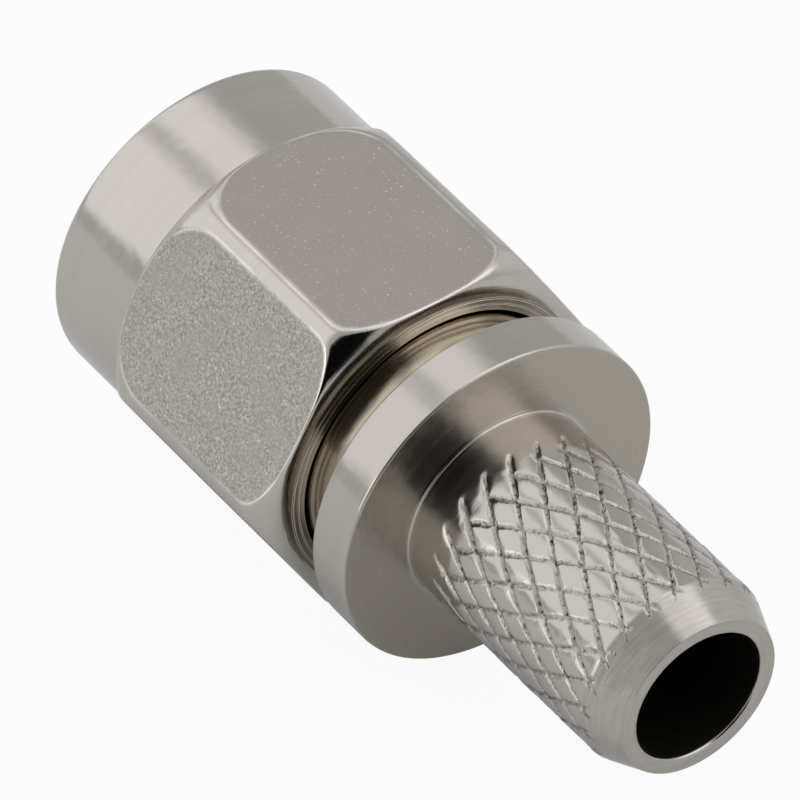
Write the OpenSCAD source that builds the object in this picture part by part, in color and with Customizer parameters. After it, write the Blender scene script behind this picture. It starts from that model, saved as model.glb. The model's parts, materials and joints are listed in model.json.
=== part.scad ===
// Coaxial crimp plug with a threaded coupling nut, for a thin flexible cable.
// The connector's axis is X. The mating reference plane is at X = 0, the cable
// leaves towards +X, and a flat of the nut's hexagon faces straight up.

/* [Coupling nut] */
// Hexagon size across its flats
hex_af = 8; // [7:0.1:11]
// Depth turned off each of the hexagon's corners
corner_turning = 0.07; // [0:0.01:0.3]
// Length of the hexagon, with the rounding at both of its ends
hex_len = 6; // [5:0.05:8]
// Length of the long rounding on the hexagon's front corners
front_round_len = 1.65; // [1:0.05:3]
// Depth of that rounding, at the radius
front_round_depth = 0.8; // [0.7:0.05:1.2]
// Length of the rounding on the hexagon's rear corners
rear_round_len = 0.85; // [0.4:0.05:1.2]
// Depth of that rounding, at the radius
rear_round_depth = 0.8; // [0.3:0.05:0.9]
// How far the round collar in front of the hexagon lies inside the flats
collar_inset = 0.07; // [0:0.01:0.3]
// Length of the collar
collar_len = 2.5; // [1.5:0.1:4]
// Break on the collar's front edge
collar_break = 0.18; // [0:0.02:0.3]
// Bore of the coupling thread, at the crests of the thread
thread_minor_d = 5.7; // [5.58:0.01:5.74]
// Nominal diameter of the coupling thread
thread_major_d = 6.35; // [6.3:0.01:6.6]
// Depth of the countersink that leads into the thread
mouth_len = 0.4; // [0.2:0.05:0.8]
// How far the countersink's rim stands outside the thread, at the radius
mouth_margin = 0.1; // [0:0.02:0.2]
// How far the thread stops short of the gasket
thread_relief = 0.35; // [0.2:0.05:0.6]
// How far the nut's mouth stands in front of the mating plane
nut_reach = 2.95; // [2:0.05:4]
// Gap between the nut and the flange behind it
nut_to_flange = 1.15; // [0.6:0.05:3]

/* [Retaining ring] */
// Thickness of the split ring along the axis
ring_w = 0.6; // [0.4:0.05:0.8]
// Radial width of the ring's section
ring_section = 0.6; // [0.4:0.05:0.7]
// Gap of the split, as an angle
ring_gap_angle = 30; // [10:5:60]
// Distance from the mating plane to the middle of the ring
ring_at = 3.7; // [3.6:0.05:4.2]
// Axial travel of the nut each way
nut_float = 0.08; // [0.02:0.01:0.15]

/* [Body] */
// Outside diameter of the outer contact sleeve
sleeve_d = 4.57; // [4.5:0.01:4.6]
// Diameter of the barrel that the nut turns on
barrel_d = 6.56; // [6.4:0.02:6.7]
// Diameter of the flange
flange_d = 8; // [7:0.1:10]
// Thickness of the flange
flange_w = 1.14; // [0.8:0.02:2]
// Break on the flange's edges
flange_break = 0.07; // [0:0.01:0.2]
// Diameter of the crimp tube
tube_d = 4.7; // [4.2:0.05:5.5]
// Length of the crimp tube behind the flange
tube_len = 7.05; // [5:0.05:12]
// Length of the tube's tapered end
taper_len = 1.01; // [0.5:0.01:2]
// Wall of the tube at its end face
end_wall = 0.36; // [0.15:0.01:0.6]
// Bore of the crimp tube, for the cable's inner insulation
cable_bore_d = 3.175; // [2.8:0.005:3.4]
// Width of the flange's and barrel's smallest steps
small_break = 0.05; // [0:0.01:0.1]

/* [Gasket] */
// Thickness of the gasket
gasket_w = 0.8; // [0.5:0.05:1]
// Between the gasket's rim and the nut round it, at the radius
gasket_clearance = 0.43; // [0.2:0.01:0.6]
// Distance from the mating plane to the gasket's front face
gasket_at = 1.95; // [1.9:0.05:2.1]

/* [Insulator and centre contact] */
// Diameter of the insulator
insulator_d = 4.1; // [3.9:0.01:4.2]
// Length of the insulator
insulator_len = 3.9; // [3.5:0.1:4.5]
// Diameter of the contact's body
contact_d = 1.27; // [1.1:0.01:1.3]
// Diameter of the contact's pin
pin_d = 0.914; // [0.9:0.002:0.94]
// How far the pin stands in front of the mating plane
pin_reach = 2.05; // [1.9:0.05:2.3]
// Length of the pin's pointed tip
pin_tip_len = 0.35; // [0.2:0.05:0.5]
// Diameter of the flat on the pin's tip
pin_tip_d = 0.3; // [0.1:0.05:0.5]
// Diameter of the contact's seating collar
seat_d = 1.9; // [1.6:0.05:2.2]
// Length of the contact's seating collar
seat_len = 0.5; // [0.3:0.05:0.8]
// Bore of the cup that takes the cable's centre conductor
cup_d = 0.95; // [0.9:0.01:1]
// Depth of the cup
cup_len = 2.2; // [1.5:0.1:2.5]

/* [Clearances] */
// Between the nut's rear bore and the barrel, at the radius
nut_clearance = 0.1; // [0.05:0.01:0.15]
// Round the ring in its two grooves, at the radius
ring_clearance = 0.07; // [0.03:0.01:0.12]
// Between the ring and each side of the nut's groove
ring_side_clearance = 0.03; // [0.01:0.01:0.05]
// Between the insulator or contact and its bore, at the radius
seat_clearance = 0.015; // [0.005:0.005:0.03]

/* [Hidden] */
$fn = 96;

nickel = "#96918a";
// Overshoot that lets a cut run clear of the face it opens
cut = 0.5;

// Stations along the axis
nut_front = -nut_reach;
hex_front = nut_front + collar_len;
nut_rear = hex_front + hex_len;
flange_front = nut_rear + nut_to_flange;
flange_rear = flange_front + flange_w;
tube_end = flange_rear + tube_len;
barrel_front = gasket_at + gasket_w;
relief_front = gasket_at - thread_relief;

// Radii
corner_r = hex_af / 2 / cos(30) - corner_turning;
collar_r = hex_af / 2 - collar_inset;
// The front rounding is part of an ellipse that starts at the collar's radius
front_round_angle = asin(1 - (corner_r - collar_r) / front_round_depth);
front_round_end = hex_front + front_round_len * cos(front_round_angle);
nut_bore_r = barrel_d / 2 + nut_clearance;
gasket_r = nut_bore_r - gasket_clearance;
tube_end_r = cable_bore_d / 2 + end_wall;
mouth_r = thread_major_d / 2 + mouth_margin;
// The ring shares its section between the barrel's groove and the nut's
ring_outer_r = nut_bore_r + ring_section / 2 - ring_clearance;
ring_inner_r = ring_outer_r - ring_section;
nut_groove_r = ring_outer_r + ring_clearance;
body_groove_r = ring_inner_r - ring_clearance;
// The nut carries the ring along, and the body's groove lets both float
nut_groove_w = ring_w + 2 * ring_side_clearance;
body_groove_w = nut_groove_w + 2 * nut_float;
body_bore_r = insulator_d / 2 + seat_clearance;
contact_bore_r = contact_d / 2 + seat_clearance;
seat_bore_r = seat_d / 2 + seat_clearance;

// A solid of revolution about the X axis, from points given as [x, radius]
module turned(points) {
    rotate([90, 0, 90])
        rotate_extrude()
            polygon([for (p = points) [p[1], p[0]]]);
}

// A round rod along X, from one station to another
module rod(r, from, to) {
    translate([from, 0, 0])
        rotate([0, 90, 0])
            cylinder(h = to - from, r = r);
}

// A flat ring round the X axis, centred at a station
module washer_shape(outer_r, inner_r, width, at) {
    difference() {
        rod(outer_r, at - width / 2, at + width / 2);
        rod(inner_r, at - width / 2 - cut, at + width / 2 + cut);
    }
}

// The hexagon bar with a pair of flats square to Z
module hex_bar() {
    translate([hex_front, 0, 0])
        rotate([0, 90, 0])
            rotate([0, 0, 90])
                cylinder(h = hex_len, d = hex_af / cos(30), $fn = 6);
}

// The lathe's envelope that rounds the hexagon's corners at both ends
module hex_envelope() {
    turned([
        [hex_front, 0],
        [hex_front, collar_r],
        for (t = [0.125:0.125:1]) let(a = front_round_angle + t * (90 - front_round_angle)) [
            front_round_end - front_round_len * cos(a),
            corner_r - front_round_depth * (1 - sin(a))
        ],
        for (a = [90:-15:0]) [
            nut_rear - rear_round_len * (1 - cos(a)),
            corner_r - rear_round_depth * (1 - sin(a))
        ],
        [nut_rear, 0]
    ]);
}

module nut_blank() {
    intersection() {
        hex_bar();
        hex_envelope();
    }
    turned([
        [nut_front, 0],
        [nut_front, collar_r - collar_break],
        [nut_front + collar_break, collar_r],
        [hex_front, collar_r],
        [hex_front, 0]
    ]);
}

module coupling_nut() {
    color(nickel)
        difference() {
            nut_blank();
            rod(thread_minor_d / 2, nut_front - cut, nut_rear + cut);
            turned([
                [nut_front - cut, 0],
                [nut_front - cut, mouth_r],
                [nut_front, mouth_r],
                [nut_front + mouth_len, thread_minor_d / 2],
                [nut_front + mouth_len, 0]
            ]);
            rod(nut_bore_r, relief_front, nut_rear + cut);
            rod(nut_groove_r, ring_at - nut_groove_w / 2, ring_at + nut_groove_w / 2);
        }
}

module retaining_ring() {
    color("#b08d57")
        difference() {
            washer_shape(ring_outer_r, ring_inner_r, ring_w, ring_at);
            rotate([90, 0, 90])
                translate([0, 0, ring_at - ring_w])
                    linear_extrude(2 * ring_w)
                        polygon([
                            [0, 0],
                            for (s = [-1, 1]) 2 * ring_outer_r
                                * [cos(90 + s * ring_gap_angle / 2), sin(90 + s * ring_gap_angle / 2)]
                        ]);
        }
}

module connector_body() {
    color(nickel)
        difference() {
            union() {
                rod(sleeve_d / 2, 0, barrel_front + cut);
                turned([
                    [barrel_front, 0],
                    [barrel_front, barrel_d / 2 - small_break],
                    [barrel_front + small_break, barrel_d / 2],
                    [flange_front, barrel_d / 2],
                    [flange_front, flange_d / 2 - flange_break],
                    [flange_front + flange_break, flange_d / 2],
                    [flange_rear - flange_break, flange_d / 2],
                    [flange_rear, flange_d / 2 - flange_break],
                    [flange_rear, 0]
                ]);
                rod(tube_d / 2, flange_rear - cut, tube_end - taper_len);
                turned([
                    [tube_end - taper_len, 0],
                    [tube_end - taper_len, tube_d / 2],
                    [tube_end - small_break, tube_end_r],
                    [tube_end, tube_end_r - small_break],
                    [tube_end, 0]
                ]);
            }
            rod(body_bore_r, -cut, insulator_len);
            rod(cable_bore_d / 2, insulator_len - cut, tube_end + cut);
            difference() {
                rod(barrel_d, ring_at - body_groove_w / 2, ring_at + body_groove_w / 2);
                rod(body_groove_r, ring_at - body_groove_w, ring_at + body_groove_w);
            }
        }
}

module gasket() {
    color("#b5452f")
        washer_shape(gasket_r, sleeve_d / 2, gasket_w, gasket_at + gasket_w / 2);
}

module insulator() {
    color("white")
        difference() {
            rod(insulator_d / 2, 0, insulator_len);
            rod(contact_bore_r, -cut, insulator_len + cut);
            rod(seat_bore_r, insulator_len - seat_len, insulator_len + cut);
        }
}

module centre_contact() {
    color("#d8b04a")
        difference() {
            union() {
                turned([
                    [-pin_reach, 0],
                    [-pin_reach, pin_tip_d / 2],
                    [-pin_reach + pin_tip_len, pin_d / 2],
                    [0, pin_d / 2],
                    [0, 0]
                ]);
                rod(contact_d / 2, 0, insulator_len);
                rod(seat_d / 2, insulator_len - seat_len, insulator_len);
            }
            rod(cup_d / 2, insulator_len - cup_len, insulator_len + cut);
        }
}

coupling_nut();
retaining_ring();
connector_body();
gasket();
insulator();
centre_contact();
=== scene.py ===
"""Coaxial crimp plug: the visual model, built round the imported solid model.

Every length is in metres, in the frame of the solid model: the connector's axis is X, the cable
leaves towards +X, and the plug lies on one of the nut's flats.
"""
import json
from math import acos, asin, cos, hypot, pi, radians, sin

import bpy
import numpy as np
from mathutils import Matrix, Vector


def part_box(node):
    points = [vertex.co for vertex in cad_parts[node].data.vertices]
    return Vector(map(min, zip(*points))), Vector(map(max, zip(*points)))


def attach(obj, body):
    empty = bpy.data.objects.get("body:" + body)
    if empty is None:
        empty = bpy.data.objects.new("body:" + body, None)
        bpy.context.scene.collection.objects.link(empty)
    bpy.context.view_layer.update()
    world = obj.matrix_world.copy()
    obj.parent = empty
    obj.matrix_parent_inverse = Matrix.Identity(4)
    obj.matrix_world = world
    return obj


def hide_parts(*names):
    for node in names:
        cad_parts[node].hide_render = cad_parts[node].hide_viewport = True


bl_info = {
    "name": "Coaxial Crimp Plug",
    "version": (1, 0, 0),
    "blender": (4, 5, 0),
    "location": "View3D > Sidebar > Plug",
    "description": "Builds a nickel plated coaxial crimp plug, its parts and a plain studio",
    "category": "Add Mesh",
}

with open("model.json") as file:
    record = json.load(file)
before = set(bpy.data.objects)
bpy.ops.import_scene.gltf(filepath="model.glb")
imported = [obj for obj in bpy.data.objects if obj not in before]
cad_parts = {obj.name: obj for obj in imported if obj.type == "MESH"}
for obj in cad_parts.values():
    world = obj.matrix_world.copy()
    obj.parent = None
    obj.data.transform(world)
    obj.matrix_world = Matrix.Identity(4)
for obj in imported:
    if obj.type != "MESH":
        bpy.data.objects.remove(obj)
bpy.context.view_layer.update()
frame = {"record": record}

MM = 0.001
MICRON = 0.001 * MM
# The gap between neighbouring rings of a turned shape, and the unit of soft borders.
FINE = 20 * MICRON
NUT_LOW, NUT_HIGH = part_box("coupling_nut")
BODY_LOW, BODY_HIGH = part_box("connector_body")
RING_LOW, RING_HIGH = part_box("retaining_ring")
GASKET_LOW, GASKET_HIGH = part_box("gasket")
INSULATOR_LOW, INSULATOR_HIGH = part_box("insulator")
CONTACT_LOW, CONTACT_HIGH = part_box("centre_contact")
MOUNTS = {mount["name"]: mount for mount in frame["record"]["mounts"]}


def mount_size(name, key="r_mm"):
    """A size of one of the record's mounts, in metres: its radius unless told otherwise."""
    return MOUNTS[name]["dims"][key] * MM


# ---- settings


def length(name, description, millimetres):
    """A property that holds a length, given here in millimetres."""
    return bpy.props.FloatProperty(
        name=name, description=description, default=millimetres * MM, unit="LENGTH", precision=6
    )


def angle(name, description, degrees):
    """A property that holds an angle, given here in degrees."""
    return bpy.props.FloatProperty(
        name=name, description=description, default=radians(degrees), subtype="ANGLE"
    )


def count(name, description, default):
    """A property that holds a whole number."""
    return bpy.props.IntProperty(name=name, description=description, default=default, min=1)


def colour(name, description, default):
    """A property that holds a linear colour."""
    return bpy.props.FloatVectorProperty(
        name=name, description=description, default=default, subtype="COLOR", size=3
    )


class PLUG_PG_nut(bpy.types.PropertyGroup):
    """Sizes of the coupling nut."""

    collar_length: length("Collar length", "Round collar in front of the hexagon", 2.5)
    collar_inset: length("Collar inset", "Depth of the collar under the flats", 0.07)
    collar_break: length("Collar edge", "Rounding of the collar's front edge", 0.16)
    front_length: length("Front rounding length", "Of the hexagon's front corners", 1.65)
    front_depth: length("Front rounding depth", "Of the hexagon's front corners", 0.8)
    rear_length: length("Rear rounding length", "Of the hexagon's rear corners", 0.85)
    rear_depth: length("Rear rounding depth", "Of the hexagon's rear corners", 0.8)
    edge_blend: length("Edge rounding", "Softness of the edges round each flat", 0.08)
    corner_blend: length("Corner rounding", "Softness of the long edges of each flat", 0.034)
    corner_line: length("Corner line", "Depth of the fine line beside each corner", 0.009)
    bore_radius: length("Rear bore", "Radius of the bore on the barrel", 3.33)
    groove_radius: length("Ring groove", "Radius of the split ring's groove", 3.68)
    groove_margin: length("Groove margin", "Space beside the split ring", 0.03)
    relief_front: length("Relief", "Station where the thread ends", 1.6)
    thread_crest: length("Thread crest", "Radius at the crests of the thread", 2.85)
    thread_root: length("Thread root", "Radius at the roots of the thread", 3.175)
    thread_pitch: length("Thread pitch", "One turn of the thread", 25.4 / 36)
    mouth_radius: length("Mouth", "Radius of the countersink at the mouth", 3.275)
    mouth_length: length("Mouth length", "Depth of the countersink", 0.4)


class PLUG_PG_body(bpy.types.PropertyGroup):
    """Sizes of the turned body."""

    sleeve_radius: length("Sleeve", "Radius of the outer contact sleeve", 2.285)
    seat_radius: length("Insulator seat", "Radius of the insulator's bore", 2.065)
    barrel_front: length("Barrel front", "Where the barrel starts", 2.75)
    barrel_radius: length("Barrel", "Radius of the barrel in the nut", 3.28)
    groove_front: length("Groove front", "Front side of the ring groove", 3.29)
    groove_rear: length("Groove rear", "Rear side of the ring groove", 4.11)
    groove_radius: length("Groove floor", "Radius of the ring groove's floor", 2.94)
    flange_width: length("Flange", "Thickness of the flange", 1.14)
    tube_length: length("Tube", "Length of the crimp tube", 7.05)
    taper_length: length("Taper", "Length of the tapered end", 1.01)
    end_radius: length("Tube end", "Radius of the tube's end face", 1.9475)
    edge: length("Edges", "Rounding of the turned edges", 0.035)
    root: length("Root", "Rounding between the tube and the flange", 0.05)


class PLUG_PG_knurl(bpy.types.PropertyGroup):
    """Sizes of the diamond knurl on the crimp tube."""

    starts: count("Starts", "Grooves of each hand round the tube", 21)
    pitch: length("Pitch", "Along the axis between grooves of one hand", 1.177)
    phase_x: length("Phase", "Station of the middle of one diamond", 9.74)
    phase_angle: angle("Turn", "Angle of the middle of one diamond", -49.75)
    front: length("Front", "Where the grooves start, from the flange", 0.76)
    lag: length("Lag", "How much later the second set starts", 0.35)
    depth: length("Depth", "Depth of the first set of grooves", 0.09)
    second_depth: length("Second depth", "Depth of the second set of grooves", 0.07)
    half_width: length("Half width", "Half the width of a groove", 0.052)
    burr: length("Burr", "Height of the burr along each groove", 0.012)
    dome: length("Dome", "How far each diamond is domed", 0.03)
    tilt: length("Tilt", "How far the diamonds lean at random", 0.016)
    wander: length("Wander", "How far the grooves stray from their lines", 0.016)
    step: length("Step", "Spacing of the mesh along the knurl", 0.0385)
    columns: count("Columns", "Mesh columns to each groove", 19)


class PLUG_PG_inside(bpy.types.PropertyGroup):
    """Sizes of the small pieces inside the plug."""

    ring_radial: length("Ring section", "Radial width of the split ring", 0.6)
    ring_gap: angle("Ring gap", "Gap of the split ring", 30)
    contact_radius: length("Contact", "Radius of the contact's body", 0.635)
    contact_bore: length("Contact bore", "Radius of the insulator's bore for the contact", 0.65)
    seat_bore: length("Seat bore", "Radius of the seat for the collar", 0.965)
    seat_length: length("Seat", "Length of the contact's collar", 0.5)
    tip_length: length("Tip", "Length of the pin's tip", 0.35)


class PLUG_PG_finish(bpy.types.PropertyGroup):
    """Colours of the finishes."""

    nickel: colour("Nickel", "Plating on the nut and the body", (0.56, 0.528, 0.485))
    bronze: colour("Bronze", "Metal of the split ring", (0.69, 0.50, 0.28))
    gold: colour("Gold", "Plating on the centre contact", (0.86, 0.64, 0.27))
    silicone: colour("Silicone", "Rubber of the gasket", (0.45, 0.055, 0.03))
    ptfe: colour("Insulator", "Plastic of the insulator", (0.82, 0.82, 0.80))
    # Painted shade and a painted brown reflection on the barrel inside the nut.
    thin: colour("Thin plating", "Brown of the barrel inside the nut", (0.46, 0.41, 0.31))
    # The next two paint the knurl's grooves dark: partly wear and dirt, partly painted shade.
    worn: colour("Worn plating", "Dull metal in the knurl's grooves", (0.40, 0.38, 0.355))
    grime: colour("Grime", "Dark patches in the knurl's grooves", (0.04, 0.036, 0.03))
    # Painted shade: the inside of the cable bore is painted dark.
    bare: colour("Bare metal", "Inside of the cable bore", (0.16, 0.15, 0.11))


class PLUG_PG_stage(bpy.types.PropertyGroup):
    """The studio and the camera."""

    azimuth: angle("Azimuth", "Where the camera stands round the plug", 54.27)
    elevation: angle("Elevation", "How high the camera stands", 43.74)
    distance: length("Distance", "From the camera to the point it looks at", 252.05)
    aim: bpy.props.FloatVectorProperty(
        name="Aim",
        description="The point that the camera looks at",
        default=(5.408 * MM, -0.800 * MM, 1.575 * MM),
        subtype="TRANSLATION",
        precision=6,
    )
    lens: bpy.props.FloatProperty(name="Lens", description="In millimetres", default=540.0)
    floor_size: length("Floor", "Width of the floor", 3000)
    floor_colour: colour("Floor colour", "Colour of the floor", (0.80, 0.80, 0.80))


GROUPS = {
    "plug_nut": PLUG_PG_nut,
    "plug_body": PLUG_PG_body,
    "plug_knurl": PLUG_PG_knurl,
    "plug_inside": PLUG_PG_inside,
    "plug_finish": PLUG_PG_finish,
    "plug_stage": PLUG_PG_stage,
}


# ---- surfaces


# How far a holding point stands from its corner, in radii, and the most of a side that a soft
# corner takes up.
HOLD, SIDE_SHARE = 1.2, 0.4


def rounded(points, radius, steps=4, closed=False):
    """An outline with soft corners, as an array of (x, r) points.

    Each corner is replaced by a short parabola: (1-s)^2 A + 2 s (1-s) P + s^2 B, where P is the
    corner and A and B lie `radius` from it along its two sides. A holding point stands HOLD
    times as far out on each side, which keeps the straight stretches flat under smooth shading.
    """
    corner = np.asarray(points, float)
    size = np.broadcast_to(np.asarray(radius, float), (len(corner),))[:, None]
    sides = [np.roll(corner, shift, axis=0) - corner for shift in (1, -1)]
    lengths = [np.linalg.norm(side, axis=1, keepdims=True) for side in sides]
    size = np.minimum(size, SIDE_SHARE * np.minimum(*lengths))
    start, end = (corner + side / length * size for side, length in zip(sides, lengths))
    holds = [corner + side / length * size * HOLD for side, length in zip(sides, lengths)]
    s = np.linspace(0.0, 1.0, steps + 1)[None, :, None]
    arc = (1 - s) ** 2 * start[:, None] + 2 * s * (1 - s) * corner[:, None] + s**2 * end[:, None]
    full = np.concatenate([holds[0][:, None], arc, holds[1][:, None]], axis=1)
    if closed:
        return full.reshape(-1, 2)
    return np.concatenate([corner[:1], full[1:-1].reshape(-1, 2), corner[-1:]])


def around(columns):
    """Equally spaced angles round the axis, measured from +Z towards +Y."""
    return np.arange(columns) * (2 * pi / columns)


def spun(outline, columns):
    """Rows of x and r for an outline carried round the axis: the same at every angle."""
    outline = np.asarray(outline)
    ones = np.ones((1, columns))
    return outline[:, :1] * ones, outline[:, 1:] * ones


def grid_quads(rows, columns, rows_closed, columns_closed):
    """Corner indices of the cells of a grid whose ends may be joined."""
    i = np.arange(rows if rows_closed else rows - 1)
    j = np.arange(columns if columns_closed else columns - 1)
    a, b = np.meshgrid(i, j, indexing="ij")
    up, along = (a + 1) % rows, (b + 1) % columns
    return np.stack(
        [a * columns + b, a * columns + along, up * columns + along, up * columns + b], axis=-1
    ).reshape(-1, 4)


def outward(points, quads):
    """The quads turned so that they face out: the volume they enclose comes out positive."""
    p = points[quads]
    volume = np.einsum("ij,ij->", p[:, 0], np.cross(p[:, 1], p[:, 2]))
    volume += np.einsum("ij,ij->", p[:, 0], np.cross(p[:, 2], p[:, 3]))
    return quads if volume > 0 else quads[:, ::-1]


def wrapped(x, r, theta, rows_closed=True, columns_closed=True):
    """The points (x, r sin a, r cos a) of a surface given by x and r over rows and angles a, and
    its outward quads."""
    theta = np.broadcast_to(theta, x.shape)
    points = np.stack([x, r * np.sin(theta), r * np.cos(theta)], axis=-1).reshape(-1, 3)
    return points, outward(points, grid_quads(*x.shape, rows_closed, columns_closed))


def stacked(parts):
    """Rows of x and r of several parts, one after the other."""
    return (np.concatenate(rows) for rows in zip(*parts))


def new_object(name, data):
    """An object at the origin, in the scene."""
    thing = bpy.data.objects.new(name, data)
    bpy.context.scene.collection.objects.link(thing)
    return thing


def new_mesh(name, points, faces, material):
    """A mesh with one material."""
    mesh = bpy.data.meshes.new(name)
    mesh.from_pydata(points, [], faces)
    mesh.materials.append(material)
    return mesh


# For each piece, the body it rides on, the node it replaces and its material slot.
PIECES = {
    "coupling_nut_turned": ("nut", "coupling_nut", "nickel"),
    "connector_body_turned": ("body", "connector_body", "nickel"),
    "split_ring": ("ring", "retaining_ring", "spring_bronze"),
    "gasket_moulded": ("body", "gasket", "silicone"),
    "insulator_turned": ("body", "insulator", "ptfe"),
    "centre_contact_turned": ("body", "centre_contact", "gold"),
}


def make_piece(name, points, faces, material, masks=None):
    """Puts a surface and its masks into a mesh object and ties it to the frame."""
    mesh = new_mesh(name, points.tolist(), [list(face) for face in faces], material)
    mesh.shade_smooth()
    for key, values in (masks or {}).items():
        layer = mesh.attributes.new(key, "FLOAT", "POINT")
        layer.data.foreach_set("value", np.asarray(values, np.float32).ravel())
    mesh.validate()
    mesh.update()
    piece = new_object(name, mesh)
    body, node, slot_name = PIECES[name]
    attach(piece, body)
    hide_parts(node)


def soft_min(a, b, blend):
    """The lower of two surfaces with a rounded edge: min(a, b) - h^2 blend / 4, where h falls
    from 1 where they are equal to 0 where they are `blend` apart."""
    h = np.clip(1 - np.abs(a - b) / blend, 0, None)
    return np.minimum(a, b) - h * h * blend / 4


def smooth_step(value, low, high):
    """3 t^2 - 2 t^3 of the value's place t between low and high."""
    t = np.clip((value - low) / (high - low), 0, 1)
    return t * t * (3 - 2 * t)


# Values in each row of the noise's table.
NOISE_LENGTH = 512


def smooth_noise(x, y, rows, seed):
    """Seeded noise from -1 to 1: table values joined by a smooth curve along x, and one table
    row for each whole y."""
    table = np.random.default_rng(seed).uniform(-1, 1, (rows, NOISE_LENGTH))
    cell = np.floor(x).astype(int)
    t = smooth_step(x - cell, 0, 1)
    row = np.mod(np.asarray(y).astype(int), rows)
    here, ahead = table[row, cell % NOISE_LENGTH], table[row, (cell + 1) % NOISE_LENGTH]
    return here * (1 - t) + ahead * t


# ---- coupling nut


def sector_angles(corner_angle, cells=44, band_cells=8):
    """Angles across one flat, from corner to corner: close together beside the two long edges,
    where w = (1 - cos pi t) / 2 spaces them, and even across the narrow turned corners."""
    t = np.linspace(0, 1, cells + 1)
    flat = -corner_angle + 2 * corner_angle * (1 - np.cos(pi * t)) / 2
    half = radians(30)
    band = np.linspace(corner_angle, half, band_cells + 1)[1:]
    return np.concatenate([-band[::-1][1:], flat, band])


# Mesh rows on the hexagon's front rounding, flats and rear rounding, how much the last crowd
# towards the edge, the share of the rounded edge that the flats' mask takes up, and the width
# of the fine line beside a corner.
FRONT_ROWS, FLAT_ROWS, REAR_ROWS, REAR_CROWDING = 13, 39, 20, 1.3
MASK_SHARE = 0.8
LINE_WIDTH = 15 * MICRON


def hexagon_rows(nut, across):
    """Rows of x, r and the flats' mask for the hexagon, for every angle from a flat's middle.

    The flat's radius is (half width) / cos(angle from the flat's middle), limited to the turned
    corner. The lathe's envelope is a cylinder with a quarter of an ellipse at each end:
    corner - depth (1 - sqrt(1 - (distance in / length)^2)). The surface is the lower of the two
    with soft edges. Rows follow the line where they meet, so the rounded edge of each flat is
    evenly fine. A fine line is cut beside one corner of each flat.
    """
    half_width, corner = NUT_HIGH.z, NUT_HIGH.y
    front = NUT_LOW.x + nut.collar_length
    rear = NUT_HIGH.x
    collar = half_width - nut.collar_inset
    plain = half_width / np.cos(across)
    flat = soft_min(plain, np.full_like(plain, corner), nut.corner_blend)
    front_turn = asin(1 - (corner - collar) / nut.front_depth)
    front_end = front + nut.front_length * cos(front_turn)
    flat_turn = np.arcsin(np.clip(1 - (corner - flat) / nut.front_depth, 0, 1))
    front_edge = front_end - nut.front_length * np.cos(flat_turn)
    rear_turn = np.arcsin(np.clip(1 - (corner - flat) / nut.rear_depth, 0, 1))
    rear_edge = rear - nut.rear_length * (1 - np.cos(rear_turn))

    t = np.linspace(0, 1, FRONT_ROWS, endpoint=False)[:, None]
    front_x = front_end - nut.front_length * np.cos(front_turn + (flat_turn - front_turn) * t)
    t = np.linspace(0, 1, FLAT_ROWS, endpoint=False)[:, None]
    flat_x = front_edge + (rear_edge - front_edge) * (1 - np.cos(pi * t)) / 2
    t = np.linspace(0, 1, REAR_ROWS)[:, None]
    round_x = rear - nut.rear_length * (1 - np.cos(rear_turn * (1 - t) ** REAR_CROWDING))
    x = np.concatenate([front_x, flat_x, round_x])

    reach = np.clip((front_end - x) / nut.front_length, 0, 1)
    ahead = corner - nut.front_depth * (1 - np.sqrt(1 - reach**2))
    reach = np.clip((x - (rear - nut.rear_length)) / nut.rear_length, 0, 1)
    behind = corner - nut.rear_depth * (1 - np.sqrt(1 - reach**2))
    r = soft_min(np.broadcast_to(flat, x.shape), behind, nut.edge_blend)
    r = soft_min(r, ahead, nut.edge_blend)
    envelope = np.minimum(ahead, behind)
    beside = (across + acos(half_width / corner)) * corner
    line = np.exp(-((beside / LINE_WIDTH) ** 2)) * smooth_step(envelope - flat, 0, FINE)
    mask = smooth_step(np.minimum(envelope, corner) - plain, 0.0, nut.edge_blend * MASK_SHARE)
    return x, r - nut.corner_line * line, mask


# Mesh rows to each turn of the thread, and the shape of its flanks and crests.
ROWS_A_TURN = 12
FLANK_SLOPE, CREST_WIDTH = 1.45, 0.28


def thread_rows(nut, theta, start, end):
    """Rows of x and r for the thread in the nut's bore.

    r = crest + depth * clip(slope * triangle - width, 0, 1), where the triangle wave runs with
    x / pitch - angle / (2 pi). This makes a right-hand groove with narrow flats. It fades in and
    out over half a pitch at both ends.
    """
    rows = int(round((end - start) / nut.thread_pitch * ROWS_A_TURN))
    x = np.linspace(start, end, rows)[:, None] * np.ones((1, len(theta)))
    turn = np.mod(x / nut.thread_pitch - theta / (2 * pi), 1.0)
    triangle = 1 - np.abs(2 * turn - 1)
    groove = np.clip(FLANK_SLOPE * triangle - CREST_WIDTH, 0, 1)
    fade = smooth_step(x, start, start + nut.thread_pitch / 2)
    fade *= 1 - smooth_step(x, end - nut.thread_pitch / 2, end)
    return x, nut.thread_crest + (nut.thread_root - nut.thread_crest) * groove * fade


# Fine rings turned in the nut's rear face: radius, and depth under the face, in millimetres.
REAR_RINGS = (
    (3.70, 0.0), (3.69, 0.05), (3.66, 0.05), (3.64, 0.01),
    (3.54, 0.01), (3.53, 0.05), (3.50, 0.05), (3.49, 0.02),
)
# The lip of the rear bore, and the rounding of the edges inside the nut.
LIP_WIDTH, LIP_DEPTH = 0.03 * MM, 0.07 * MM
NUT_EDGE = 12 * MICRON


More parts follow.
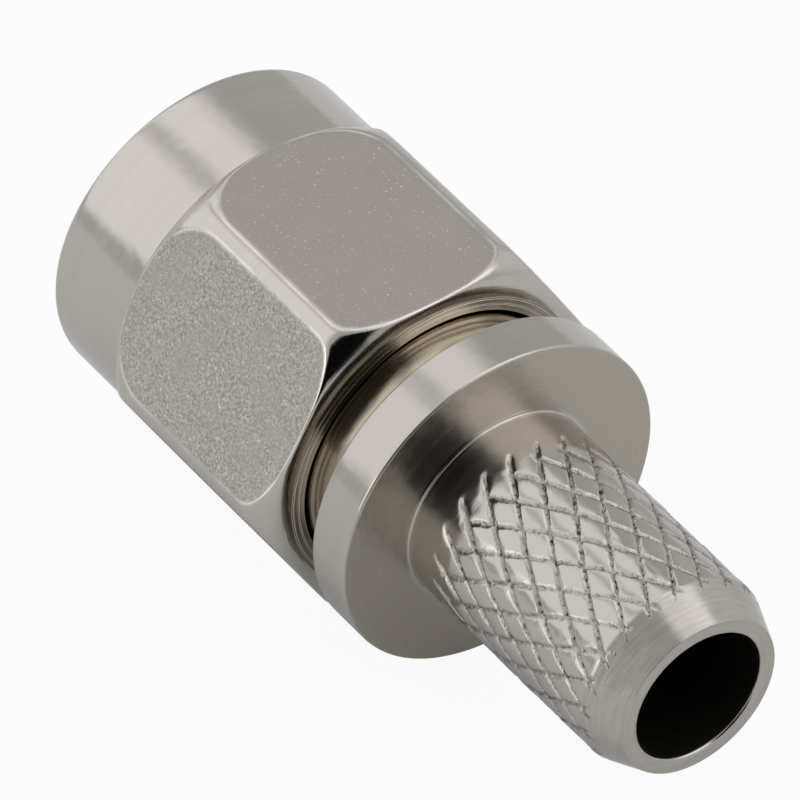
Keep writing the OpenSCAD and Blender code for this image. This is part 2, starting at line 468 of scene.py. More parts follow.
def build_nut(nut, material):
    """The coupling nut as one closed surface: collar, hexagon, rear face, bores and thread."""
    corner_angle = acos(NUT_HIGH.z / NUT_HIGH.y)
    sector = sector_angles(corner_angle)
    across = np.tile(sector, 6)
    theta = np.concatenate([sector + radians(60) * k for k in range(6)])
    columns = len(theta)
    front, rear = NUT_LOW.x, NUT_HIGH.x
    collar = NUT_HIGH.z - nut.collar_inset
    hexagon = front + nut.collar_length
    rim = NUT_HIGH.y - nut.rear_depth

    nose = rounded(
        [(front, nut.mouth_radius + FINE), (front, collar), (hexagon - FINE, collar)],
        [0, nut.collar_break, 0],
        steps=6,
    )
    x_hex, r_hex, mask = hexagon_rows(nut, across)
    groove_front = RING_LOW.x - nut.groove_margin
    groove_rear = RING_HIGH.x + nut.groove_margin
    lip = nut.bore_radius
    behind = rounded(
        [
            (rear, rim),
            *((rear - depth * MM, radius * MM) for radius, depth in REAR_RINGS),
            (rear - FINE, lip + LIP_WIDTH),
            (rear - LIP_DEPTH, lip),
            (groove_rear, lip),
            (groove_rear, nut.groove_radius),
            (groove_front, nut.groove_radius),
            (groove_front, lip),
            (nut.relief_front, lip),
            (nut.relief_front, nut.thread_crest + FINE),
        ],
        NUT_EDGE,
        steps=2,
    )[1:]
    mouth = front + nut.mouth_length
    x_thread, r_thread = thread_rows(nut, theta, mouth, nut.relief_front - FINE)
    throat = [(mouth - FINE, nut.thread_crest + FINE), (front + FINE, nut.mouth_radius - FINE / 2)]

    parts = [spun(nose, columns), (x_hex, r_hex), spun(behind, columns)]
    parts += [(x_thread[::-1], r_thread[::-1]), spun(throat, columns)]
    x, r = stacked(parts)
    flat_mask = np.zeros_like(x)
    flat_mask[len(nose) : len(nose) + len(mask)] = mask
    coarse = np.broadcast_to(np.repeat([0.0, 1.0] * 3, len(sector)), x.shape)
    masks = {"flat": flat_mask, "coarse": coarse}
    make_piece("coupling_nut_turned", *wrapped(x, r, theta), material, masks)


# ---- connector body


# Lengths over which the knurl's mesh, grooves, burrs and relief begin and end, and which rows of
# the taper's outline are kept past the knurl.
MESH_LEAD = 0.12 * MM
KNURL_LEAD_IN = 0.3 * MM
KNURL_RUN_OUT = 0.3 * MM
BURR_START, BURR_FULL = 0.2 * MM, 0.7 * MM
RELIEF_FADE = 0.12 * MM
TAPER_ROW_STEP = 6
# A groove's section, where 1 is the half width: its power, its burr's place, width and level,
# and where the rougher finish with painted shade starts and stops fading.
GROOVE_POWER, BURR_PLACE, BURR_WIDTH, BURR_LEVEL = 1.6, 1.2, 0.3, 0.6
DULL_SHADE_INSIDE, DULL_SHADE_OUTSIDE = 0.35, 1.05
# How much ragged noise changes the width, the depth, the burr and the end of the rough band of
# painted shade.
RAGGED_WIDTH, RAGGED_DEPTH, RAGGED_BURR, RAGGED_DULL_SHADE = 0.2, 0.25, 0.9, 0.4
# How many tilts the lands lie under the tube of the solid model, so that leaning diamonds and
# burrs stay inside it, and how many the grooves are cut from above the lands.
LAND_DROP, GROOVE_LEVEL = 1.2, 0.6
# Noise along the grooves: its rate in each pitch, and a shift that keeps its cells positive.
WANDER_RATE, WANDER_SHIFT = 9, 50
RAGGED_RATE, RAGGED_SHIFT = 24, 90
LEAN_SEED, LEAN_CELLS = 5, 64


def knurl_fields(knurl, x, theta, start, end):
    """The knurl as three fields: the depth of its grooves, how far its lands lie under the tube's
    surface, and a mask of the grooves.

    Two helical coordinates u and v = turn / starts +- x / pitch are whole numbers at the middle
    of each diamond, and the grooves run where they are a half. With t the distance from that
    line over the half width, a groove is depth (1 - t^power), with a burr along both sides.
    Seeded noise varies its line and depth. Between the grooves each diamond is domed, by
    dome * (2 |u - round u|)^4, and leans a little at random.
    """
    radius = mount_size("crimp_post")
    step_angle = 2 * pi / knurl.starts
    turn = (theta - knurl.phase_angle) / step_angle
    along = (x - knurl.phase_x) / knurl.pitch
    spacing = 1 / hypot(1 / (step_angle * radius), 1 / knurl.pitch)
    shape = np.broadcast(x, theta).shape
    depth, drop, mask = np.zeros(shape), np.zeros(shape), np.zeros(shape)
    lean = np.random.default_rng(LEAN_SEED).uniform(-1, 1, (2, LEAN_CELLS, LEAN_CELLS))
    cell_u = np.mod(np.round(turn + along), LEAN_CELLS).astype(int)
    cell_v = np.mod(np.round(turn - along), knurl.starts).astype(int)
    # Both hands: direction, depth, late start, seed, unevenness, and how strongly the grooves
    # are roughened and painted with shade.
    sets = ((1, knurl.depth, 0.0, 3, 0.7, 1.0), (-1, knurl.second_depth, knurl.lag, 11, 1.0, 0.7))
    for index, (hand, deep, lag, seed, rough, dull_and_shaded) in enumerate(sets):
        u = turn + hand * along
        line = np.floor(u)
        wander = smooth_noise(along * WANDER_RATE + WANDER_SHIFT, line, knurl.starts, seed)
        wander = wander * knurl.wander * rough
        ragged = smooth_noise(along * RAGGED_RATE + RAGGED_SHIFT, line, knurl.starts, seed + 1)
        away = (u - line - 0.5) * spacing + wander
        width = knurl.half_width * (1 + RAGGED_WIDTH * rough * ragged)
        t = np.clip(np.abs(away) / width, 0, 3)
        groove = np.clip(1 - t**GROOVE_POWER, 0, 1) * (1 + RAGGED_DEPTH * rough * ragged)
        burr = np.exp(-(((t - BURR_PLACE) / BURR_WIDTH) ** 2))
        burr = burr * (BURR_LEVEL + RAGGED_BURR * rough * ragged)
        begun = smooth_step(x, start + lag, start + lag + KNURL_LEAD_IN)
        burr = burr * smooth_step(x, start + lag + BURR_START, start + lag + BURR_FULL)
        depth = np.maximum(depth, deep * groove * begun)
        outside_band = smooth_step(t, DULL_SHADE_INSIDE, DULL_SHADE_OUTSIDE + RAGGED_DULL_SHADE * ragged)
        mask = np.maximum(mask, dull_and_shaded * (1 - outside_band) * begun)
        offset = 2 * (u - np.round(u))
        leaning = lean[index, cell_u, cell_v] * offset * knurl.tilt
        drop += (knurl.dome * np.abs(offset) ** 4 + leaning - knurl.burr * burr) * begun
    return depth, drop * (1 - smooth_step(x, end - RELIEF_FADE, end)), mask


def taper_outline(start, end, radius, end_radius, soft=0.08, rows=50):
    """The taper: a cone with a soft start. With s from 0 to 1 along it, the radius falls by a
    share f / (1 - soft / 2), where f = s^2 / (2 soft) up to s = soft and f = s - soft / 2 after
    it."""
    s = np.arange(rows) / rows
    fall = np.where(s < soft, s**2 / (2 * soft), s - soft / 2) / (1 - soft / 2)
    return np.stack([start + (end - start) * s, radius - (radius - end_radius) * fall], axis=1)


def body_stations(body, knurl):
    """Stations along the body: the flange's two faces, the knurl's start and the taper's."""
    flange_rear = BODY_HIGH.x - body.tube_length
    taper = BODY_HIGH.x - body.taper_length
    return flange_rear - body.flange_width, flange_rear, flange_rear + knurl.front, taper


def build_body(body, knurl, material):
    """The turned body as one closed surface: outer contact sleeve, barrel with its ring groove,
    flange, knurled crimp tube, tapered end, cable bore and insulator seat."""
    post = mount_size("crimp_post")
    bore = mount_size("cable_bore")
    front, end = BODY_LOW.x, BODY_HIGH.x
    flange_front, flange_rear, knurl_start, taper = body_stations(body, knurl)
    rim = BODY_HIGH.z
    mesh_start = knurl_start - MESH_LEAD
    run_out = taper + KNURL_RUN_OUT
    land = post - LAND_DROP * knurl.tilt
    seat_end = INSULATOR_HIGH.x
    edge = body.edge

    ahead = rounded(
        [
            (front, body.seat_radius + edge),
            (front, body.sleeve_radius),
            (body.barrel_front, body.sleeve_radius),
            (body.barrel_front, body.barrel_radius),
            (body.groove_front, body.barrel_radius),
            (body.groove_front, body.groove_radius),
            (body.groove_rear, body.groove_radius),
            (body.groove_rear, body.barrel_radius),
            (flange_front, body.barrel_radius),
            (flange_front, rim),
            (flange_rear, rim),
            (flange_rear, land),
            (mesh_start, land),
        ],
        [0, *[edge] * 8, 1.7 * edge, 1.7 * edge, body.root, 0],
        steps=3,
    )
    cone = taper_outline(taper, end, land, body.end_radius)
    behind = rounded(
        [
            cone[-1],
            (end, body.end_radius),
            (end, bore),
            (seat_end, bore),
            (seat_end, body.seat_radius),
            (front, body.seat_radius),
        ],
        [0, 1.2 * edge, 2.2 * edge, edge, edge, edge],
        steps=3,
    )
    kept = cone[cone[:, 0] >= run_out][::TAPER_ROW_STEP]
    behind = np.concatenate([kept, cone[-1:], behind[1:]])
    columns = knurl.starts * knurl.columns
    theta = around(columns)
    rows = int(round((run_out - mesh_start) / knurl.step))
    x = np.linspace(mesh_start, run_out, rows + 1)[1:-1, None] * np.ones((1, columns))
    plain = np.minimum(land, np.interp(x, cone[:, 0], cone[:, 1]))
    depth, drop, groove = knurl_fields(knurl, x, theta, knurl_start, taper)
    r = np.minimum(np.minimum(plain - drop, land + GROOVE_LEVEL * knurl.tilt - depth), post)
    groove = groove * smooth_step(depth - (land - plain), -FINE / 2, FINE)

    x, r = stacked([spun(ahead, columns), (x, r), spun(behind, columns)])
    mask = np.zeros_like(x)
    mask[len(ahead) : len(ahead) + len(groove)] = groove
    make_piece("connector_body_turned", *wrapped(x, r, theta), material, {"groove": mask})


# ---- small pieces


COLUMNS = 160
RING_STEPS, RING_EDGE = 120, 0.06 * MM
GASKET_INSIDE_EDGE, GASKET_OUTSIDE_EDGE = 0.04 * MM, 0.2 * MM
INSULATOR_EDGE = 0.03 * MM


def rectangle(low, high, inner, outer):
    """Corners of a ring's section, from station low to high and from radius inner to outer."""
    return [(low, inner), (low, outer), (high, outer), (high, inner)]


def spun_piece(name, outline, material):
    """A closed outline clear of the axis, carried round it."""
    make_piece(name, *wrapped(*spun(outline, COLUMNS), around(COLUMNS)), material)


def build_ring(inside, material):
    """The split ring: a soft rectangle carried round all but the gap, with closed ends."""
    outer = -RING_LOW.z
    corners = rectangle(RING_LOW.x, RING_HIGH.x, outer - inside.ring_radial, outer)
    section = rounded(corners, RING_EDGE, closed=True)
    theta = np.linspace(inside.ring_gap / 2, 2 * pi - inside.ring_gap / 2, RING_STEPS + 1)
    points, quads = wrapped(*spun(section, len(theta)), theta, columns_closed=False)
    first = np.arange(len(section)) * len(theta)
    ends = [first.tolist(), (first + RING_STEPS)[::-1].tolist()]
    make_piece("split_ring", points, quads.tolist() + ends, material)


def build_gasket(body, material):
    """The gasket: a flat ring with well rounded edges."""
    corners = rectangle(GASKET_LOW.x, GASKET_HIGH.x, body.sleeve_radius, GASKET_HIGH.z)
    edges = [GASKET_INSIDE_EDGE, GASKET_OUTSIDE_EDGE, GASKET_OUTSIDE_EDGE, GASKET_INSIDE_EDGE]
    spun_piece("gasket_moulded", rounded(corners, edges, 6, closed=True), material)


def build_insulator(inside, material):
    """The insulator: a plain sleeve with a wider seat for the contact's collar."""
    low, high = INSULATOR_LOW.x, INSULATOR_HIGH.x
    outer = INSULATOR_HIGH.z
    corners = [
        (low, inside.contact_bore),
        (low, outer),
        (high, outer),
        (high, inside.seat_bore),
        (high - inside.seat_length, inside.seat_bore),
        (high - inside.seat_length, inside.contact_bore),
    ]
    spun_piece("insulator_turned", rounded(corners, INSULATOR_EDGE, closed=True), material)


CONTACT_COLUMNS = 96
# The contact's two ends close on a small ring. Then come the rounding of the tip and of the
# other edges, and the width of the tip's end as a share of the pin's.
CONTACT_HOLE, HOLE_EDGE = 10 * MICRON, MICRON
TIP_EDGES, CONTACT_EDGE = (0.12 * MM, 0.3 * MM), 20 * MICRON
TIP_SHARE = 0.33


def build_contact(inside, material):
    """The centre contact: pin with a rounded tip, body, seating collar and solder cup."""
    pin = mount_size("contact_pin")
    cup = mount_size("conductor_cup")
    tip, rear = CONTACT_LOW.x, CONTACT_HIGH.x
    cup_floor = rear - mount_size("conductor_cup", "length_mm")
    collar = rear - inside.seat_length
    corners = [
        (tip, CONTACT_HOLE),
        (tip, pin * TIP_SHARE),
        (tip + inside.tip_length, pin),
        (0.0, pin),
        (0.0, inside.contact_radius),
        (collar, inside.contact_radius),
        (collar, CONTACT_HIGH.z),
        (rear, CONTACT_HIGH.z),
        (rear, cup),
        (cup_floor, cup),
        (cup_floor, CONTACT_HOLE),
    ]
    outline = rounded(corners, [HOLE_EDGE, *TIP_EDGES, *[CONTACT_EDGE] * 7, HOLE_EDGE], 5)
    rows = spun(outline, CONTACT_COLUMNS)
    points, quads = wrapped(*rows, around(CONTACT_COLUMNS), rows_closed=False)
    first = list(range(CONTACT_COLUMNS))
    last = list(range(len(points) - CONTACT_COLUMNS, len(points)))
    make_piece("centre_contact_turned", points, quads.tolist() + [first, last[::-1]], material)


# ---- shader groups


class Tree:
    """Short ways to add and join nodes in a node tree."""

    def __init__(self, tree):
        self.nodes = tree.nodes
        self.links = tree.links

    def add(self, kind, **settings):
        """A new node with its settings."""
        node = self.nodes.new(kind)
        for key, value in settings.items():
            setattr(node, key, value)
        return node

    def put(self, value, socket):
        """Sets a socket to a value, or links it to another socket."""
        if isinstance(value, bpy.types.NodeSocket):
            self.links.new(value, socket)
        else:
            socket.default_value = value

    def fill(self, node, *values):
        """Puts values into a node's first sockets, and gives its outputs."""
        for value, socket in zip(values, node.inputs):
            self.put(value, socket)
        return node.outputs

    def feed(self, node, **values):
        """Puts values into a node's sockets by their names, and gives its outputs."""
        for key, value in values.items():
            self.put(value, node.inputs[key])
        return node.outputs

    def math(self, operation, *values, clamp=False):
        """One step of arithmetic."""
        node = self.add("ShaderNodeMath", operation=operation, use_clamp=clamp)
        return self.fill(node, *values)[0]

    def times(self, *factors, clamp=False):
        """The product of two values."""
        return self.math("MULTIPLY", *factors, clamp=clamp)

    def vector(self, operation, *values):
        """One step of vector arithmetic: its outputs, Vector and Value."""
        return self.fill(self.add("ShaderNodeVectorMath", operation=operation), *values)

    def scale(self, vector, factor):
        """A vector times a number."""
        node = self.add("ShaderNodeVectorMath", operation="SCALE")
        self.put(factor, node.inputs["Scale"])
        return self.fill(node, vector)[0]

    def ramp(self, value, low, high, to_low=0.0, to_high=1.0):
        """The value mapped smoothly from low..high to to_low..to_high."""
        node = self.add("ShaderNodeMapRange", interpolation_type="SMOOTHSTEP")
        return self.fill(node, value, low, high, to_low, to_high)[0]

    def parts(self, vector):
        """The x, y and z of a vector."""
        return self.fill(self.add("ShaderNodeSeparateXYZ"), vector)[:3]

    def lathe(self):
        """The place's station along the axis, its part across the axis and that part's length."""
        where = self.add("ShaderNodeTexCoord").outputs["Object"]
        across = self.vector("MULTIPLY", where, (0.0, 1.0, 1.0))[0]
        return self.parts(where)[0], across, self.vector("LENGTH", across)["Value"]

    def attribute(self, name):
        """A mask kept on the mesh."""
        return self.add("ShaderNodeAttribute", attribute_name=name).outputs["Fac"]

    def noise(self, vector, scale, detail=2.0, rough=0.5):
        """Smooth noise from 0 to 1."""
        node = self.add("ShaderNodeTexNoise")
        return self.feed(node, Vector=vector, Scale=scale, Detail=detail, Roughness=rough)["Fac"]

    def mix(self, factor, a, b, kind="RGBA"):
        """Two colours, or two numbers, mixed by the factor."""
        node = self.add("ShaderNodeMix", data_type=kind)
        return self.feed(node, Factor=factor, A=a, B=b)["Result"]

    def bump(self, height, distance, **before):
        """A bump whose height of 1 stands `distance` metres proud, over the Normal before it."""
        node = self.add("ShaderNodeBump")
        return self.feed(node, Strength=1.0, Distance=distance, Height=height, **before)["Normal"]

    def place(self, maker, **values):
        """A shared group, made the first time it is asked for, with its own values here."""
        group = bpy.data.node_groups.get(maker.__name__) or maker()
        return self.feed(self.add("ShaderNodeGroup", node_tree=group), **values)


def new_group(name, inputs, outputs):
    """An empty shader node group: named number inputs with their defaults, and outputs."""
    group = bpy.data.node_groups.new(name, "ShaderNodeTree")
    for label, default in inputs.items():
        socket = group.interface.new_socket(label, in_out="INPUT", socket_type="NodeSocketFloat")
        socket.default_value = default
    for label in outputs:
        group.interface.new_socket(label, in_out="OUTPUT", socket_type="NodeSocketFloat")
    tree = Tree(group)
    return group, tree, tree.add("NodeGroupInput").outputs, tree.add("NodeGroupOutput").inputs


def turning_marks():
    """Lathe marks: noise of x and the distance from the axis, so that each line runs right round.
    A little of the place across the axis, times Sweep, makes the lines uneven."""
    group, tree, given, result = new_group(
        "turning_marks", {"Spacing": 30000.0, "Sweep": 0.004}, ("Height", "Bands")
    )
    station, across, radius = tree.lathe()
    _, side, up = tree.parts(tree.scale(across, given["Sweep"]))
    combine = tree.add("ShaderNodeCombineXYZ")
    place = tree.fill(combine, station, tree.math("ADD", radius, side), up)[0]
    tree.put(tree.noise(place, given["Spacing"], 3.0, 0.6), result["Height"])
    wide = tree.times(given["Spacing"], 0.12)
    tree.put(tree.noise(place, wide, 1.0), result["Bands"])
    return group


def blasted_grain():
    """Fine blasted grain, sparse bright specks, and a broad mottle Patches times as close."""
    group, tree, given, result = new_group(
        "blasted_grain",
        {"Scale": 24000.0, "Specks": 0.735, "Patches": 0.06},
        ("Height", "Speck", "Mottle"),
    )
    where = tree.add("ShaderNodeTexCoord").outputs["Object"]
    tree.put(tree.noise(where, given["Scale"], 2.0, 0.65), result["Height"])
    speck = tree.noise(where, tree.times(given["Scale"], 0.9), 0.0)
    limit = tree.math("ADD", given["Specks"], 0.05)
    tree.put(tree.ramp(speck, given["Specks"], limit), result["Speck"])
    broad = tree.times(given["Scale"], given["Patches"])
    tree.put(tree.noise(where, broad), result["Mottle"])
    return group


# ---- materials


def solid(tint):
    """A colour with full alpha."""
    return (*tint, 1.0)


def scaled(tint, *factors):
    """A colour times one factor, or times one factor for each channel, with full alpha."""
    factors = factors * 3 if len(factors) == 1 else factors
    return solid(min(1.0, value * factor) for value, factor in zip(tint, factors))


def new_material(name, base, metallic, roughness):
    """A material with a Principled shader: the material, its tree and the shader's inputs."""
    material = bpy.data.materials.new(name)
    material.use_nodes = True
    tree = Tree(material.node_tree)
    inputs = tree.nodes["Principled BSDF"].inputs
    inputs["Base Color"].default_value = solid(base)
    inputs["Metallic"].default_value = metallic
    inputs["Roughness"].default_value = roughness
    return material, tree, inputs


FLAT_ROUGHNESS = 0.42


def nut_material(finish):
    """Nickel plate: satin blasted flats, every other one coarser, with smoother edges that carry a
    painted highlight, and a turned collar."""
    nickel = finish.nickel
    material, tree, inputs = new_material("nickel_nut", nickel, 1.0, 0.16)
    flat = tree.attribute("flat")
    turned = tree.math("SUBTRACT", 1.0, flat)
    coarse = tree.math("MULTIPLY_ADD", tree.attribute("coarse"), 0.85, 0.15)
    coarse = tree.times(coarse, flat)
    grain = tree.place(blasted_grain, Scale=17000.0, Specks=0.765)
    marks = tree.place(turning_marks)

    # Coarse flats: dark and pale grains, glints on the highest ones, and darker patches.
    dark_grain = scaled(nickel, 0.55, 0.575, 0.565)
    pale_grain = scaled(nickel, 0.91, 0.95, 0.93)
    sand = tree.mix(tree.ramp(grain["Height"], 0.34, 0.66), dark_grain, pale_grain)
    sand = tree.mix(tree.ramp(grain["Height"], 0.66, 0.74), sand, scaled(nickel, 1.5))
    sand = tree.mix(tree.ramp(grain["Mottle"], 0.4, 0.7, 0.0, 0.5), sand, scaled(nickel, 0.74))

    # Fine flats are mottled, the turned surfaces banded; specks lie on all flats.
    dark_satin = scaled(nickel, 0.68, 0.66, 0.65)
    pale_satin = scaled(nickel, 0.77, 0.75, 0.74)
    satin = tree.mix(grain["Mottle"], dark_satin, pale_satin)
    bands = tree.mix(marks["Bands"], scaled(nickel, 0.95), scaled(nickel, 1.05))
    base = tree.mix(coarse, tree.mix(flat, bands, satin), sand)
    specks = tree.times(grain["Speck"], flat)
    base = tree.mix(specks, base, scaled(nickel, 1.15))

    # The rim of each flat, where its mask is between 0 and 1, carries a painted highlight, uneven
    # along it.
    rim = tree.times(flat, turned)
    uneven = tree.ramp(grain["Mottle"], 0.35, 0.6, 1.2, 3.4)
    rim = tree.times(rim, uneven, clamp=True)
    tree.put(tree.mix(rim, base, scaled(nickel, 1.45)), inputs["Base Color"])

    turned_rough = tree.math("MULTIPLY_ADD", marks["Bands"], 0.10, 0.08)
    tree.put(tree.mix(flat, turned_rough, FLAT_ROUGHNESS, "FLOAT"), inputs["Roughness"])

    pits = tree.times(grain["Height"], coarse)
    waves = tree.times(grain["Mottle"], turned)
    lines = tree.times(marks["Height"], turned)
    normal = tree.bump(pits, 12 * MICRON)
    normal = tree.bump(waves, 20 * MICRON, Normal=normal)
    normal = tree.bump(lines, 1.6 * MICRON, Normal=normal)
    tree.put(normal, inputs["Normal"])
    return material


def body_material(finish, body, knurl):
    """Nickel plate over turned metal. The barrel inside the nut is painted brown, as painted shade
    and a painted brown reflection. The knurl's grooves are rougher and painted dark, partly as
    wear and dirt and partly as painted shade. The inside of the cable bore is painted dark as
    painted shade. Turning marks are coarse on the tapered end and on the faces square to the axis."""
    nickel = finish.nickel
    material, tree, inputs = new_material("nickel_body", nickel, 1.0, 0.16)
    marks = tree.place(turning_marks)
    coarse = tree.place(turning_marks, Spacing=14000.0, Sweep=0.1)
    grain = tree.place(blasted_grain, Scale=16000.0, Patches=0.55)
    waves = tree.place(blasted_grain, Scale=17000.0)

    # Where each finish lies, from the attribute, the station and the radius.
    groove = tree.attribute("groove")
    station, _, radius = tree.lathe()
    flange_front, flange_rear, knurl_start, taper = body_stations(body, knurl)
    bore = mount_size("cable_bore")
    inside = tree.ramp(radius, bore + MICRON, bore + 5 * MICRON, 1.0, 0.0)
    rim = body.barrel_radius
    near_barrel = tree.ramp(radius, rim + FINE, rim + 6 * FINE, 1.0, 0.0)
    ahead = tree.ramp(station, flange_front - 1.5 * FINE, flange_front + FINE / 2, 1.0, 0.0)
    barrel = tree.times(near_barrel, ahead)
    tapered = tree.ramp(station, taper - FINE / 2, taper + FINE)
    root = mount_size("crimp_post") + body.root
    behind = tree.ramp(station, flange_rear - 2 * FINE, flange_rear - FINE / 2)
    faced = tree.times(tree.ramp(radius, root, root + 3 * FINE), behind)
    knurled = tree.ramp(station, knurl_start - MESH_LEAD, knurl_start + 14 * FINE, 0.0, 0.35)

    base = tree.mix(marks["Bands"], scaled(nickel, 0.89), scaled(nickel, 0.97))
    # Painted shade and a painted brown reflection: the barrel inside the nut is painted brown.
    base = tree.mix(barrel, base, solid(finish.thin))
    lines = tree.ramp(coarse["Height"], 0.38, 0.62)
    lines = tree.mix(lines, scaled(nickel, 0.79), scaled(nickel, 0.88))
    base = tree.mix(tapered, base, lines)
    base = tree.mix(faced, base, scaled(nickel, 0.84, 0.825, 0.78))
    # Painted shade, with wear and dirt: the knurl's grooves are painted dark, darkest in random
    # patches.
    patches = tree.ramp(grain["Mottle"], 0.50, 0.64)
    dull_and_shaded = tree.mix(patches, solid(finish.worn), solid(finish.grime))
    base = tree.mix(groove, base, dull_and_shaded)
    # Painted shade: the inside of the cable bore is painted dark.
    tree.put(tree.mix(inside, base, solid(finish.bare)), inputs["Base Color"])

    rough = tree.math("MULTIPLY_ADD", marks["Bands"], 0.08, 0.10)
    for mask, extra in ((inside, 0.2), (groove, 0.25), (faced, 0.13)):
        rough = tree.math("MULTIPLY_ADD", mask, extra, rough)
    tree.put(rough, inputs["Roughness"])

    cut = tree.math("MAXIMUM", tapered, tree.times(faced, 0.3))
    cut = tree.times(coarse["Height"], tree.math("MAXIMUM", knurled, cut))
    ragged = tree.times(grain["Height"], groove)
    normal = tree.bump(waves["Mottle"], 18 * MICRON)
    normal = tree.bump(marks["Height"], 1.2 * MICRON, Normal=normal)
    normal = tree.bump(cut, 2.6 * MICRON, Normal=normal)
    normal = tree.bump(ragged, 16 * MICRON, Normal=normal)
    tree.put(normal, inputs["Normal"])
    return material


# Plain turned finishes: metallic, roughness, and the marks' closeness, darkest tint and height.
TURNED = {
    "spring_bronze": (1.0, 0.28, 20000.0, 0.7, 2 * MICRON),
    "gold_plate": (1.0, 0.18, 40000.0, 0.85, MICRON),
    "ptfe": (0.0, 0.42, 24000.0, 0.94, 2 * MICRON),
}


def turned_material(name, tint):
    """A plain turned finish, with faint bands and fine lines of turning marks."""
    metallic, roughness, spacing, dark, height = TURNED[name]
    material, tree, inputs = new_material(name, tint, metallic, roughness)
    marks = tree.place(turning_marks, Spacing=spacing)
    tree.put(tree.mix(marks["Bands"], scaled(tint, dark), solid(tint)), inputs["Base Color"])
    tree.put(tree.bump(marks["Height"], height), inputs["Normal"])
    return material


def silicone_material(finish):
    """Matt silicone rubber with a faint moulded grain."""
    material, tree, inputs = new_material("silicone", finish.silicone, 0.0, 0.6)
    grain = tree.place(blasted_grain, Scale=9000.0)
    pale = solid(min(1.0, value * 1.25 + 0.02) for value in finish.silicone)
    tree.put(tree.mix(grain["Mottle"], solid(finish.silicone), pale), inputs["Base Color"])
    tree.put(tree.bump(grain["Height"], 6 * MICRON), inputs["Normal"])
    return material


# ---- studio


def build_camera(stage):
    """The camera, looking at the aim from its azimuth and elevation."""
    a, e = stage.azimuth, stage.elevation
    back = np.array([sin(a) * cos(e), -cos(a) * cos(e), sin(e)])
    right = np.array([cos(a), sin(a), 0.0])
    place = np.array(stage.aim) + back * stage.distance
    data = bpy.data.cameras.new("camera")
    data.lens = stage.lens
    data.clip_start = stage.distance * 0.1
    data.clip_end = stage.distance * 20
    camera = new_object("camera", data)
    matrix = np.identity(4)
    matrix[:3] = np.stack([right, np.cross(back, right), back, place], axis=1)
    camera.matrix_world = Matrix(matrix.tolist())
    bpy.context.scene.camera = camera


# How white the floor is to the camera, and in reflections.
SHOWN_WHITE, MIRRORED_WHITE = 0.93, 0.1


def build_floor(stage):
    """A pale floor that the plug lies on. It is shown white, and keeps the plug's shadow."""
    half = stage.floor_size / 2
    z = NUT_LOW.z
    corners = [(-half, -half, z), (half, -half, z), (half, half, z), (-half, half, z)]
    material, tree, inputs = new_material("floor_paper", stage.floor_colour, 0.0, 0.9)
    inputs["Specular IOR Level"].default_value = 0.1
    white = tree.add("ShaderNodeEmission")
    white.inputs["Strength"].default_value = 1.0
    path = tree.add("ShaderNodeLightPath").outputs
    mirror = tree.math("MAXIMUM", path["Is Glossy Ray"], path["Is Transmission Ray"])
    shown = tree.times(path["Is Camera Ray"], SHOWN_WHITE)
    share = tree.math("MULTIPLY_ADD", mirror, MIRRORED_WHITE, shown)
    paper = tree.nodes["Principled BSDF"].outputs[0]
    blend = tree.fill(tree.add("ShaderNodeMixShader"), share, paper, white.outputs[0])[0]
    tree.put(blend, tree.nodes["Material Output"].inputs["Surface"])
    new_object("floor", new_mesh("floor", corners, [(0, 1, 2, 3)], material))


# The sky's plain level and its darkest.
TENT, DARKEST = 0.54, 0.004
# A long soft box that arches over the plug's front: the degrees round the axis, from +Z towards
# +Y, where it rises and falls, the direction's x where it ends, and a seam where it is weakest.
ARCH_RISE, ARCH_FALL, ARCH_END = (-81, -75), (15, 37), (-0.35, 0.05)
SEAM, SEAM_WIDTH, SEAM_STRENGTH = -12, 12, (0.19, 0.55)
# Round soft boxes: direction, half angle and softness in degrees, strength.
SOFT_BOXES = (
    ((0.04, 0.40, 0.92), 21, 7, 0.62),
    ((0.10, 0.90, 0.42), 30, 16, 0.25),
    ((-0.26, -0.96, 0.12), 15, 3, 0.9),
    ((0.62, 0.46, 0.63), 27, 8, 0.80),
    ((0.35, -0.75, 0.56), 26, 12, 0.08),
)
# Dark flags round the camera, in the same terms: the last is the share of light held off.
FLAGS = (((0.76, -0.46, 0.46), 34, 5, 1.0), ((0.93, -0.36, 0.04), 23, 8, 1.0))


def round_patch(tree, direction, toward, half_angle, soft, strength):
    """A round patch of the sky: strength times a smooth step of the cosine of the angle to it."""
    cosine = tree.vector("DOT_PRODUCT", direction, toward)["Value"]
    edge_in = cos(radians(half_angle - soft))
    edge_out = cos(radians(half_angle + soft))
    return tree.ramp(cosine, edge_out, edge_in, 0.0, strength)


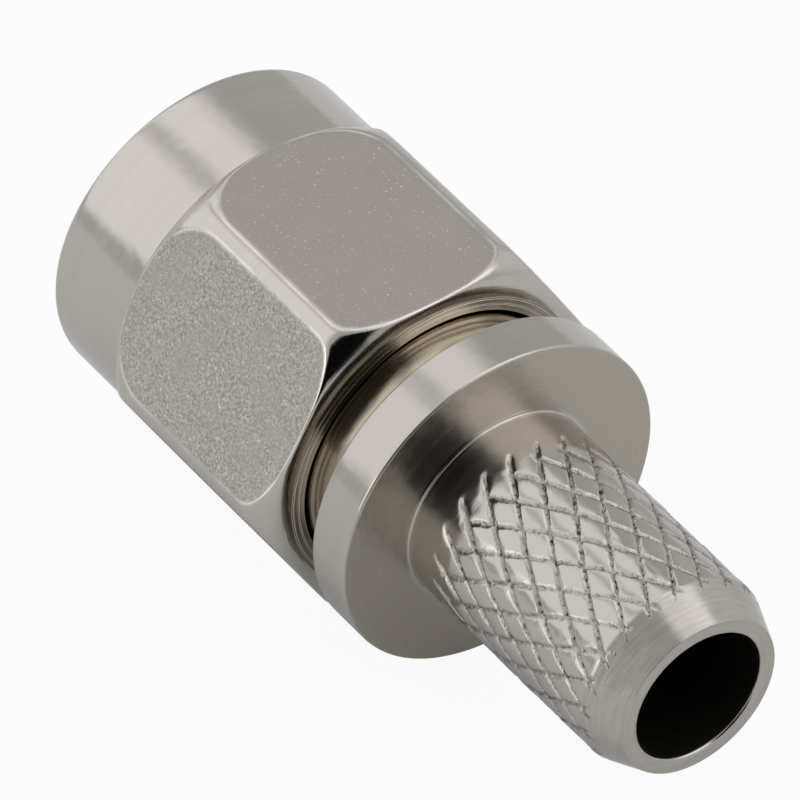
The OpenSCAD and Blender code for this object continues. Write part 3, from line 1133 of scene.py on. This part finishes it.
def build_world():
    """The studio's light: an even tent, the arch and the round soft boxes, less the flags."""
    world = bpy.data.worlds.new("studio")
    bpy.context.scene.world = world
    world.use_nodes = True
    tree = Tree(world.node_tree)
    direction = tree.add("ShaderNodeTexCoord").outputs["Generated"]
    x, y, z = tree.parts(direction)
    turn = tree.math("ARCTAN2", y, z)
    arch = tree.ramp(turn, *np.radians(ARCH_RISE))
    fall = tree.ramp(turn, *np.radians(ARCH_FALL), 1.0, 0.0)
    arch = tree.times(arch, fall)
    arch = tree.times(arch, tree.ramp(x, *ARCH_END, 1.0, 0.0))
    seam = tree.math("ABSOLUTE", tree.math("SUBTRACT", turn, radians(SEAM)))
    seam = tree.ramp(seam, 0.0, radians(SEAM_WIDTH), *SEAM_STRENGTH)
    level = tree.math("ADD", tree.times(arch, seam), TENT)
    for box in SOFT_BOXES:
        level = tree.math("ADD", level, round_patch(tree, direction, *box))
    for flag in FLAGS:
        left = tree.math("SUBTRACT", 1.0, round_patch(tree, direction, *flag))
        level = tree.times(level, left)
    level = tree.math("MAXIMUM", level, DARKEST)
    tree.put(tree.scale((1.0, 1.0, 1.0), level), tree.nodes["Background"].inputs["Color"])


# ---- operators


class PLUG_OT_stage(bpy.types.Operator):
    """Makes the floor, the studio light and the camera"""

    bl_idname = "plug.stage"
    bl_label = "Studio"

    def execute(self, context):
        stage = context.scene.plug_stage
        build_camera(stage)
        build_floor(stage)
        build_world()
        context.scene.view_settings.view_transform = "Standard"
        return {"FINISHED"}


class PLUG_OT_nut(bpy.types.Operator):
    """Makes the coupling nut with its thread"""

    bl_idname = "plug.nut"
    bl_label = "Coupling nut"

    def execute(self, context):
        build_nut(context.scene.plug_nut, nut_material(context.scene.plug_finish))
        return {"FINISHED"}


class PLUG_OT_body(bpy.types.Operator):
    """Makes the flanged body with its knurled crimp tube"""

    bl_idname = "plug.body"
    bl_label = "Connector body"

    def execute(self, context):
        scene = context.scene
        body, knurl = scene.plug_body, scene.plug_knurl
        build_body(body, knurl, body_material(scene.plug_finish, body, knurl))
        return {"FINISHED"}


class PLUG_OT_inside(bpy.types.Operator):
    """Makes the split ring, the gasket, the insulator and the centre contact"""

    bl_idname = "plug.inside"
    bl_label = "Inner pieces"

    def execute(self, context):
        scene = context.scene
        inside, finish = scene.plug_inside, scene.plug_finish
        build_ring(inside, turned_material("spring_bronze", finish.bronze))
        build_gasket(scene.plug_body, silicone_material(finish))
        build_insulator(inside, turned_material("ptfe", finish.ptfe))
        build_contact(inside, turned_material("gold_plate", finish.gold))
        return {"FINISHED"}


OPERATORS = (PLUG_OT_stage, PLUG_OT_nut, PLUG_OT_body, PLUG_OT_inside)


class PLUG_PT_panel(bpy.types.Panel):
    """Lists the plug's operators and sizes in the sidebar"""

    bl_idname = "PLUG_PT_panel"
    bl_label = "Coaxial Crimp Plug"
    bl_space_type = "VIEW_3D"
    bl_region_type = "UI"
    bl_category = "Plug"

    def draw(self, context):
        for operator in OPERATORS:
            self.layout.operator(operator.bl_idname, text=operator.bl_label)
        for key, group in GROUPS.items():
            box = self.layout.box()
            for name in group.__annotations__:
                box.prop(getattr(context.scene, key), name)


def register():
    """Registers the classes and hangs the settings on the scene."""
    for cls in (*GROUPS.values(), *OPERATORS, PLUG_PT_panel):
        bpy.utils.register_class(cls)
    for key, group in GROUPS.items():
        setattr(bpy.types.Scene, key, bpy.props.PointerProperty(type=group))


def unregister():
    """Undoes what register does."""
    for key in GROUPS:
        delattr(bpy.types.Scene, key)
    for cls in (PLUG_PT_panel, *reversed(OPERATORS), *reversed(tuple(GROUPS.values()))):
        bpy.utils.unregister_class(cls)


def main():
    register()
    bpy.ops.plug.stage()
    bpy.ops.plug.nut()
    bpy.ops.plug.body()
    bpy.ops.plug.inside()


if __name__ == "__main__":
    main()
